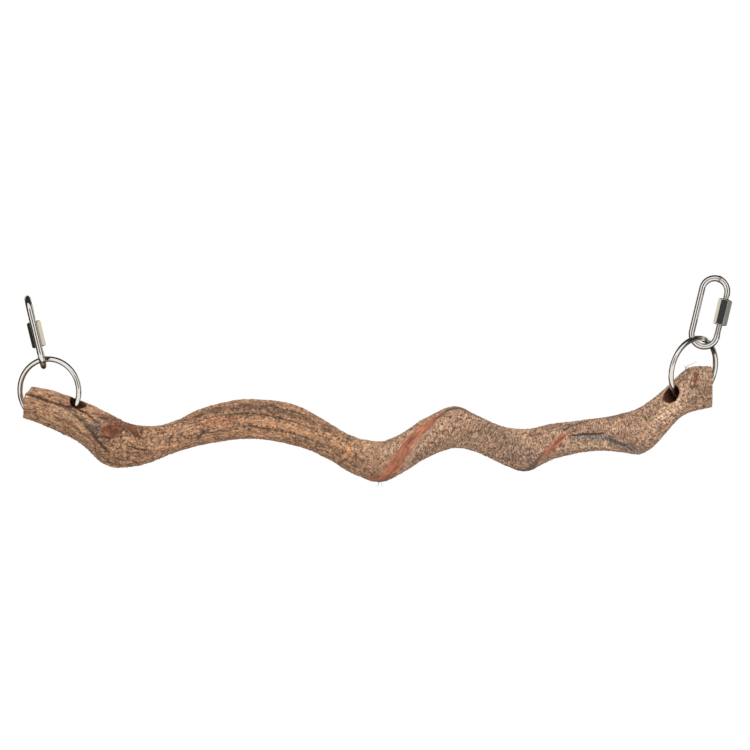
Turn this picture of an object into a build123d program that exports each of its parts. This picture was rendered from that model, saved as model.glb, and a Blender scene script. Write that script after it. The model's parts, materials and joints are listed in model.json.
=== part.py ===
from build123d import *
import os
from math import asin, cos, exp, pi, radians, sin, sqrt

# Hanging bird perch: a wavy liana branch, hung at each end from a welded ring and a screw link.
# X runs along the branch, Y to the back, Z up. Sizes in millimetres, angles in degrees.

# Branch
branch_length = 376.7      # sawn end to sawn end
branch_rise = 64.0         # lowest to highest point of the wood
branch_depth = 22.0        # full thickness, front to back
branch_sway = 5.0          # how far it winds to the front and the back
end_run = 42.0             # length at each end that is shaped to its ring
lobe_share = 0.05          # height of the blunt ridges, as a share of the radius
lobe_count = 3             # ridges round the branch
twist_turns = 1.9          # turns the ridges make along the branch
swell_share = 0.032        # height of the bark's swellings, as a share of the radius
swell_length = 15.0        # spacing of the swellings along the branch
scar_width = 5.6           # sunken scars where another vine was wound round this one
scar_depth = 0.8
split_width = 3.6          # split between the two lobes of the left end
split_depth = 1.3
section_points = 20        # points round each section
section_count = 61         # sections along the branch

# Stations along the branch: place, then top and bottom as shares of the rise, winding to the
# back as a share of the sway and thickness as a share of the depth. At the ends the place is a
# share of the end run, counted in from the saw cut, with one station past the cut; between them
# it is a share of the length that is left.
left_station_shares = [
    (-0.32, 0.840, 0.620, -1.40, 0.58),
    (0.00, 0.824, 0.545, -1.10, 0.72),
    (0.31, 0.794, 0.468, -0.75, 0.82),
    (0.70, 0.707, 0.336, -0.05, 0.92),
]
middle_station_shares = [
    (0.002, 0.612, 0.155, 0.40, 1.06),
    (0.044, 0.517, 0.129, 0.10, 1.08),
    (0.089, 0.483, 0.172, -0.55, 0.94),
    (0.135, 0.526, 0.254, -0.90, 0.82),
    (0.194, 0.647, 0.328, -0.75, 0.90),
    (0.276, 0.716, 0.375, 0.05, 1.00),
    (0.359, 0.664, 0.319, 0.80, 0.96),
    (0.420, 0.526, 0.211, 1.00, 0.88),
    (0.465, 0.405, 0.086, 0.65, 0.92),
    (0.517, 0.353, 0.000, -0.05, 1.02),
    (0.555, 0.405, 0.060, -0.70, 0.94),
    (0.601, 0.539, 0.190, -0.95, 0.90),
    (0.660, 0.655, 0.293, 0.00, 1.04),
    (0.713, 0.556, 0.241, 0.95, 0.88),
    (0.750, 0.483, 0.155, 0.75, 0.92),
    (0.796, 0.457, 0.095, 0.10, 1.04),
    (0.841, 0.500, 0.190, -0.65, 0.92),
    (0.915, 0.543, 0.267, -0.45, 0.86),
    (0.968, 0.582, 0.263, -0.10, 0.92),
]
right_station_shares = [
    (0.959, 0.638, 0.241, -0.35, 1.00),
    (0.826, 0.690, 0.270, -0.50, 0.98),
    (0.644, 0.784, 0.388, -0.85, 0.92),
    (0.469, 0.895, 0.520, -1.15, 0.90),
    (0.302, 0.987, 0.595, -1.45, 0.90),
    (-0.031, 0.996, 0.655, -1.95, 0.86),
    (-0.351, 0.988, 0.712, -2.40, 0.82),
]

# Scars and the split: each a line of places as shares of the branch's length and of a turn up
# from the front.
scar_line_shares = [
    [(0.052, 0.055), (0.082, 0.025), (0.095, -0.014), (0.110, -0.075), (0.128, -0.130)],
    [(0.507, -0.290), (0.532, -0.140), (0.544, -0.070), (0.558, 0.020), (0.571, 0.090),
     (0.588, 0.120), (0.608, 0.170), (0.642, 0.310), (0.672, 0.430)],
    [(0.692, -0.340), (0.733, -0.130), (0.746, -0.075), (0.758, -0.036), (0.781, 0.040),
     (0.794, 0.028), (0.832, -0.003), (0.851, -0.067), (0.877, -0.097), (0.908, -0.240)],
]
split_line_shares = [(-0.050, 0.125), (0.045, 0.125), (0.085, 0.110), (0.100, 0.070)]

# Welded ring
ring_inner_diameter = 32.0
ring_wire = 3.0
ring_bore_clearance = 0.3  # between the ring and the wall of its hole
bore_run_share = 1.12      # length of ring inside the hole, as a share of the branch depth

# Screw link
link_inner_width = 10.5
link_wire = 3.5
gate_gap = 4.5             # opening between the two stubs
upper_stub = 4.9           # straight wire above the gate
nut_lap = 2.2              # how far the closed nut laps the upper stub
nut_length = 14.5
nut_across_flats = 6.8
nut_bore_clearance = 0.05
nut_stop_gap = 0.3         # between the open nut and the bend below it
nut_bevel = 0.7
stub_bevel = 0.4
thread_pitch = 0.6
thread_depth = 0.3

# Left end: how the ring, its hole, the link and the saw cut lie
left_end_gap = 2.2         # inside of the ring past the saw cut
left_bore_lift = 1.0       # middle of the hole above the middle of the wood
left_bore_back = 2.0       # middle of the hole behind the middle of the wood
left_bore_slack = 0.1      # radius of the hole past what the ring needs
left_bore_drop = 0.1       # middle of the hole below the ring's run in it
left_seat_gap = 0.3        # between the link and the ring it hangs on
left_nut_back = 3.2        # how far the nut is screwed back from closed
left_hang = dict(ring_lean=13.0, ring_turn=20.6, bore_angle=246.0, link_lean=13.6,
                 link_turn=89.0, nut_turn=30.0, saw_tilt=14.0)

# Right end
right_end_gap = 0.6
right_bore_lift = -2.3
right_bore_back = 3.5
right_bore_slack = 0.6
right_bore_drop = 1.15
right_seat_gap = 0.75
right_nut_back = 0.3
right_hang = dict(ring_lean=17.8, ring_turn=46.3, bore_angle=273.0, link_lean=13.5,
                  link_turn=0.0, nut_turn=-8.0, saw_tilt=1.0)

ends = {
    "left": dict(left_hang, side=-1, end_gap=left_end_gap, bore_lift=left_bore_lift,
                 bore_back=left_bore_back, bore_slack=left_bore_slack,
                 bore_drop=left_bore_drop, seat_gap=left_seat_gap, nut_back=left_nut_back),
    "right": dict(right_hang, side=1, end_gap=right_end_gap, bore_lift=right_bore_lift,
                  bore_back=right_bore_back, bore_slack=right_bore_slack,
                  bore_drop=right_bore_drop, seat_gap=right_seat_gap, nut_back=right_nut_back),
}

ring_radius = (ring_inner_diameter + ring_wire) / 2
bow_radius = (link_inner_width + link_wire) / 2
link_leg = nut_stop_gap + nut_length + gate_gap + upper_stub
nut_open_low = bow_radius + nut_stop_gap
lower_stub_end = nut_open_low + nut_length
upper_stub_end = lower_stub_end + gate_gap
nut_low = upper_stub_end + nut_lap - nut_length
nut_travel = nut_low - nut_open_low

middle_run = branch_length - 2 * end_run
stations = [(end_run * p[0],) + p[1:] for p in left_station_shares]
stations += [(end_run + middle_run * p[0],) + p[1:] for p in middle_station_shares]
stations += [(branch_length - end_run * p[0],) + p[1:] for p in right_station_shares]


def wood_at(place):
    """Top, bottom, winding and thickness shares of the branch, eased between its stations."""
    last = len(stations) - 2
    low = max(i for i in range(last + 1) if stations[i][0] <= place or i == 0)

    def slope(i):
        a, b = stations[max(i - 1, 0)], stations[min(i + 1, last + 1)]
        return [(q - p) / (b[0] - a[0]) for p, q in zip(a, b)]

    start, stop = stations[low], stations[low + 1]
    span = stop[0] - start[0]
    t = (place - start[0]) / span
    shares = []
    for p, q, m, n in zip(start[1:], stop[1:], slope(low)[1:], slope(low + 1)[1:]):
        bend_in, bend_out = t * (1 - t) ** 2 * span * m, t * t * (t - 1) * span * n
        shares.append(p + (q - p) * t * t * (3 - 2 * t) + bend_in + bend_out)
    return shares


def wood_centre(place):
    """Height and winding of the middle of the branch."""
    top, bottom, sway, depth = wood_at(place)
    return branch_rise * (top + bottom) / 2, branch_sway * sway


def swell(place, angle):
    """Height of the bark's swellings, as a share of the radius."""
    run = 2 * pi * place / swell_length
    wave = sin(run + sin(2 * angle)) + sin(run / 2 + lobe_count * angle)
    return swell_share * wave / 2


def sink(place, angle):
    """Depth of the scars and the split at a place and an angle."""
    at = place / branch_length
    up = 0.5 - angle / (2 * pi)
    deep = 0
    lines = [(line, scar_width, scar_depth) for line in scar_line_shares]
    for line, width, depth in lines + [(split_line_shares, split_width, split_depth)]:
        first, last = line[0][0], line[-1][0]
        for (a, p), (b, q) in zip(line, line[1:]):
            if a <= at < b:
                off = (up - p - (q - p) * (at - a) / (b - a) + 0.5) % 1 - 0.5
                aside = 2 * pi * off * branch_depth / width
                fade = sqrt(sin(pi * (at - first) / (last - first)))
                deep = max(deep, depth * fade * exp(-aside ** 2))
    return deep


def section(place):
    """One ridged section of the branch, fitted between its top and its bottom."""
    top, bottom, sway, depth = wood_at(place)
    turn = 2 * pi * twist_turns * place / branch_length
    ring = []
    for i in range(section_points):
        angle = 2 * pi * (i + 0.5) / section_points
        reach = 1 + lobe_share * cos(lobe_count * (angle + turn)) + swell(place, angle + turn)
        reach -= sink(place, angle) / (branch_depth / 2)
        ring.append((reach * cos(angle), reach * sin(angle)))
    wide = [p[0] for p in ring]
    tall = [p[1] for p in ring]
    points = []
    for y, z in ring:
        y_share = (y - min(wide)) / (max(wide) - min(wide)) - 0.5
        z_share = (z - min(tall)) / (max(tall) - min(tall))
        points.append(Vector(place,
                             branch_sway * sway + branch_depth * depth * y_share,
                             branch_rise * (bottom + (top - bottom) * z_share)))
    evenly = [i / section_points for i in range(section_points + 1)]
    return Wire([Edge.make_spline(points, periodic=True, parameters=evenly)])


def hang(side, ring_lean, ring_turn, bore_angle, link_lean, link_turn, nut_turn, saw_tilt,
         end_gap, bore_lift, bore_back, bore_slack, bore_drop, seat_gap, nut_back):
    """Places and directions of the ring, its hole and its link at one end."""
    lean, turn = radians(ring_lean), radians(ring_turn)
    up = Vector(side * sin(lean), 0, cos(lean))
    out = Vector(side * cos(lean) * cos(turn), sin(turn), -sin(lean) * cos(turn))
    half = asin(branch_depth * bore_run_share / 2 / ring_radius)
    sagitta = ring_radius * (1 - cos(half))
    mid = radians(bore_angle)
    reach = out * cos(mid) + up * sin(mid)
    bore_dir = up * cos(mid) - out * sin(mid)
    to_bore = reach * (ring_radius - sagitta / 2)
    end_x = branch_length if side > 0 else 0
    centre_x = end_x + side * end_gap - (ring_inner_diameter / 2) * out.X
    bore_x = centre_x + to_bore.X
    height, winding = wood_centre(bore_x)
    bore_mid = Vector(bore_x, winding + bore_back, height + bore_lift)
    centre = bore_mid - to_bore
    saw = radians(saw_tilt)
    saw_mid = Vector(end_x, 0, wood_centre(end_x)[0])
    tilt, spin = radians(link_lean), radians(link_turn)
    along = Vector(side * sin(tilt), 0, cos(tilt))
    across = Vector(side * cos(tilt) * cos(spin), sin(spin), -sin(tilt) * cos(spin))
    pivot = centre + up * ring_radius
    foot = pivot - along * ((ring_wire + link_wire) / 2 + seat_gap)
    return dict(
        saw=Plane(saw_mid, z_dir=(side * cos(saw), 0, sin(saw))),
        ring=Plane(centre, x_dir=out, z_dir=out.cross(up)),
        bore=Plane(bore_mid + reach * bore_drop, z_dir=bore_dir),
        bore_radius=(ring_wire + sagitta) / 2 + ring_bore_clearance + bore_slack,
        link=Plane(foot, x_dir=across, z_dir=along),
        nut=Pos(bow_radius, 0, nut_low - nut_back) * Rot(0, 0, nut_turn),
        pivot=pivot, tangent=out,
        eye=foot + along * (2 * bow_radius + link_leg - link_wire / 2),
    )


def threaded(length, low, bevel_up):
    """A threaded stub about Z, from low upwards, with its free end bevelled."""
    radius = link_wire / 2
    turns = int((length - stub_bevel) / thread_pitch)
    side = []
    for i in range(turns):
        foot = i * thread_pitch
        side += [(radius, foot), (radius - thread_depth, foot + thread_pitch / 2)]
    side += [(radius, turns * thread_pitch), (radius, length - stub_bevel)]
    side += [(radius - stub_bevel, length), (0, length), (0, 0)]
    if not bevel_up:
        side = [(r, length - z) for r, z in side]
    profile = Face(Wire.make_polygon([Vector(r, 0, low + z) for r, z in side], close=True))
    return revolve(profile, axis=Axis.Z)


def link_body():
    """Bent wire of the link in its own frame: foot of the lower bow at the origin, Z along it."""
    low, high = bow_radius, bow_radius + link_leg
    crown = high + bow_radius
    thread_low = nut_open_low
    path = Wire([
        Edge.make_line((bow_radius, 0, thread_low), (bow_radius, 0, low)),
        Edge.make_three_point_arc((bow_radius, 0, low), (0, 0, 0), (-bow_radius, 0, low)),
        Edge.make_line((-bow_radius, 0, low), (-bow_radius, 0, high)),
        Edge.make_three_point_arc((-bow_radius, 0, high), (0, 0, crown), (bow_radius, 0, high)),
    ])
    wire_plane = Plane((bow_radius, 0, thread_low), x_dir=(1, 0, 0), z_dir=(0, 0, -1))
    bent = sweep(wire_plane * Circle(link_wire / 2), path=path)
    shift = Pos(bow_radius, 0, 0)
    lower = shift * threaded(lower_stub_end - thread_low, thread_low, True)
    upper = shift * threaded(high - upper_stub_end, upper_stub_end, False)
    return bent + lower + upper


def nut_body():
    """Hex sleeve nut about Z, with turned ends and a plain bore."""
    corner = nut_across_flats / sqrt(3)
    hexagon = extrude(RegularPolygon(corner, 6), nut_length)
    crown = Cylinder(corner, nut_length, align=(Align.CENTER, Align.CENTER, Align.MIN))
    crown = chamfer(crown.edges().filter_by(GeomType.CIRCLE), nut_bevel)
    bore = Cylinder(link_wire / 2 + nut_bore_clearance, nut_length,
                    align=(Align.CENTER, Align.CENTER, Align.MIN))
    return (hexagon & crown) - bore


def perch():
    """All pieces by name, with the left link's eye at the origin."""
    hung = {name: hang(**values) for name, values in ends.items()}
    first, past = stations[0][0], stations[-1][0]
    step = (past - first) / (section_count - 1)
    branch = Solid.make_loft([section(first + step * i) for i in range(section_count)])
    link, nut = link_body(), nut_body()
    pieces = {}
    for name, at in hung.items():
        bore = Cylinder(at["bore_radius"], 2 * branch_depth)
        branch = split(branch, at["saw"], keep=Keep.BOTTOM) - at["bore"] * bore
        pieces[name + "_ring"] = at["ring"] * Torus(ring_radius, ring_wire / 2)
        pieces[name + "_link"] = at["link"] * link
        pieces[name + "_nut"] = at["link"] * at["nut"] * nut
    pieces["branch"] = branch
    home = Pos(*(hung["left"]["eye"] * -1))
    return {name: home * piece for name, piece in pieces.items()}, hung


if __name__ == "__main__":
    os.makedirs("parts", exist_ok=True)
    for node, shape in perch()[0].items():
        export_step(shape, "parts/" + node + ".step")
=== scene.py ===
"""Looks of a hanging bird perch: a bark-covered vine branch on two welded rings and screw links."""

import json
import math

import bmesh
import bpy
import numpy as np
from mathutils import Matrix, Vector, noise


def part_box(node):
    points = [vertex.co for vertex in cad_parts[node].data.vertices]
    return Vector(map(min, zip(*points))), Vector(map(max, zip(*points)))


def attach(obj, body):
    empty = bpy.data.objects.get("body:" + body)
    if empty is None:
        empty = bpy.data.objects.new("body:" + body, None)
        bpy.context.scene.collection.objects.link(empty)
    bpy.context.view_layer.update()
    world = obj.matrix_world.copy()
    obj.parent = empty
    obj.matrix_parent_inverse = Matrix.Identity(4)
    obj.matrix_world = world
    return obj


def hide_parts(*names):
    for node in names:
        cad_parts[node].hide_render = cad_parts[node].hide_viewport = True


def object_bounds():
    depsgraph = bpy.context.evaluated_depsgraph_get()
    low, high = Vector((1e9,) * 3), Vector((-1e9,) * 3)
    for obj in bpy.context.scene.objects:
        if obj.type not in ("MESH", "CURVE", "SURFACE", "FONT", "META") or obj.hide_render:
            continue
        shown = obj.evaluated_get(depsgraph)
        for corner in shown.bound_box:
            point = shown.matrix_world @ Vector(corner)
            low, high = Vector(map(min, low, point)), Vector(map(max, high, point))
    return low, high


MM = 0.001
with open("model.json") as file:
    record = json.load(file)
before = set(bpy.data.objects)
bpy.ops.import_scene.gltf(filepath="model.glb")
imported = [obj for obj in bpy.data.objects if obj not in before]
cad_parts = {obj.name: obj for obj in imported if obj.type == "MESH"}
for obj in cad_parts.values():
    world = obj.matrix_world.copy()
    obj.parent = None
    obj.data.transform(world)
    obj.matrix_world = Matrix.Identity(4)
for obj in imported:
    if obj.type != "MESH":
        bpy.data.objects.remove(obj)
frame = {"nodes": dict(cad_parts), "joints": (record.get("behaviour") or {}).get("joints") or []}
cad_low, cad_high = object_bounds()
nodes = frame["nodes"]
joints = {j["name"]: j for j in frame["joints"]}
sides = ("left", "right")

# Sizes in mm

ring_radius = 17.5          # middle of the ring's wire
ring_wire = 3.0
link_wire = 3.5
bow_radius = 7.0            # middle of the wire in the link's bows
link_leg = 24.2             # straight part between the bows
thread_low = 7.3            # lower stub, from the foot of the link
lower_stub_end = 21.8
upper_stub_end = 26.3
thread_pitch = 0.6
thread_depth = 0.3
stub_bevel = 0.4
weld_half = 1.1             # half length of the bead where a ring is welded
weld_grain = 0.7            # size of the lumps on the bead
seam_half = 0.28            # half length of the seam across the bead
rack_mark = 1.2             # burr on the upper bow, from its crown towards the gate
rack_half = 0.9             # half length of that burr
rack_grain = 0.6            # size of the lumps on it
nut_edge = 0.12             # how far the nut's edges are broken
nut_flat = 4.0              # square mm above which a face of the nut is a flat
holes = {                   # middle, direction and radius of the hole drilled at each end
    "left": ((20.36, -2.16, -61.15), (-0.742, 0.321, -0.589), 4.44),
    "right": ((361.69, -5.51, -52.79), (0.673, 0.722, -0.161), 4.94),
}

# Shares of the wire's radius

weld_swell, weld_lumps, seam_sink = 0.11, 0.10, 0.10
rack_swell, rack_lumps = 0.08, 0.12

# Faces of the meshes

merge_gap = 1e-6            # m between vertices that become one
smooth_below = 35           # degrees between faces that are shaded as one
sharp_above = 25            # degrees between faces of the nut whose edge is broken
wire_sides = 28
ring_steps = 288
bow_steps = 48
leg_steps = 6
fibre_sides = 8
fibre_steps = 6
fibre_taper = 0.75


# Small helpers

def linear(code):
    """An sRGB hex colour as linear red, green, blue and alpha."""
    parts = [int(code[i:i + 2], 16) / 255 for i in (0, 2, 4)]
    return [c / 12.92 if c <= 0.04045 else ((c + 0.055) / 1.055) ** 2.4 for c in parts] + [1.0]


def add(tree, kind, sockets=None, stops=None, **settings):
    """Adds a shader node with its settings, its links or values, and the stops of a ramp."""
    made = tree.nodes.new("ShaderNode" + kind)
    for name, value in settings.items():
        setattr(made, name, value)
    if stops:
        ramp = made.color_ramp.elements
        ramp.remove(ramp[1])
        ramp[0].position, ramp[0].color = stops[0]
        for place, colour in stops[1:]:
            ramp.new(place).color = colour
    for name, value in (sockets or {}).items():
        if isinstance(value, bpy.types.NodeSocket):
            tree.links.new(value, made.inputs[name])
        else:
            made.inputs[name].default_value = value
    return made


def new_material(name):
    """An empty material and its node tree."""
    material = bpy.data.materials.new(name)
    material.use_nodes = True
    material.node_tree.nodes.clear()
    return material, material.node_tree


def new_piece(name, shape, material):
    """An object at the origin from a finished bmesh, smooth but for its sharp edges."""
    bmesh.ops.recalc_face_normals(shape, faces=shape.faces)
    mesh = bpy.data.meshes.new(name)
    shape.to_mesh(mesh)
    shape.free()
    mesh.shade_smooth()
    mesh.set_sharp_from_angle(angle=math.radians(smooth_below))
    mesh.materials.append(material)
    piece = bpy.data.objects.new(name, mesh)
    bpy.context.scene.collection.objects.link(piece)
    return piece


def keep(mesh, name, kind, field, values):
    """Keeps numbers for each vertex in an attribute that the materials read."""
    made = mesh.attributes.new(name, kind, "POINT")
    made.data.foreach_set(field, np.ascontiguousarray(values, np.float32).ravel())


def ease(low, high, x):
    """0 below low, 1 above high, and a smooth step between them."""
    t = np.clip((x - low) / (high - low), 0, 1)
    return t * t * (3 - 2 * t)


# Branch

voxel = 0.65                # face size of the bark's mesh
round_mean = 10.5           # mean radius that angles on the bark are unrolled with
slab_step, slab_half = 2.0, 1.2     # slices that the branch's middle line is found from
end_margin = 7.0            # no slice is nearer to an end
line_step, line_past = 0.5, 6.0     # step of the middle line, and how far it runs past the ends
chunk = 4000                # vertices that are unrolled at a time
end_reach = 9               # sawn faces lie within this of an end
hole_reach = 22             # walls of a hole lie within this of its middle
hole_rim = 3                # smoother bark round a hole
saw_pitch, saw_height = 1.7, 0.06   # marks of the saw on the ends
fibrous_until = (38, 56)    # where the fibrous left end turns to plates
fine_from = (188, 232)      # where the plates turn to fine granules
twist_places = [0, 200, 225, 265, 300, 330, 420]
twist_degrees = [0, 0, 25, 110, 165, 180, 130]  # how far the vine has turned there
relief_least, relief_most = -1.8, 1.2   # limits of the carving
lump_height, grit_height = 0.18, 0.28
# On the plates, at the fibrous end and on the fine half:
strand_heights = (0.34, 0.60, 0.08)
crack_depths = (0.50, 0.55, 0.40)
crack_kinds = [     # mm along and across the branch, thickness as a share, strength in each zone
    (7.0, 1.6, 0.12, (0.9, 0.6, 0.1)),  # fissures along it
    (1.6, 4.0, 0.12, (0.9, 0.3, 0.0)),  # checks across it
    (0.9, 2.6, 0.18, (0.0, 0.0, 0.8)),  # ticks across it
]
knot_ring = 1.6             # spacing of the rings in a knot
streak_long, streak_wide = 9, 0.7   # size of the fibres along a mark
lobe_fade = (1.0, 6.0)      # where the lobes of the left end fade out, along the branch
# How far the left end stands out past its saw cut at a few heights, as it was sawn by hand.
end_lobes = [(-63.0, -0.35), (-60.0, 0.1), (-55.3, 1.3), (-51.4, 1.6), (-49.9, 1.2), (-49.3, -0.1),
             (-47.3, -0.5)]

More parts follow.
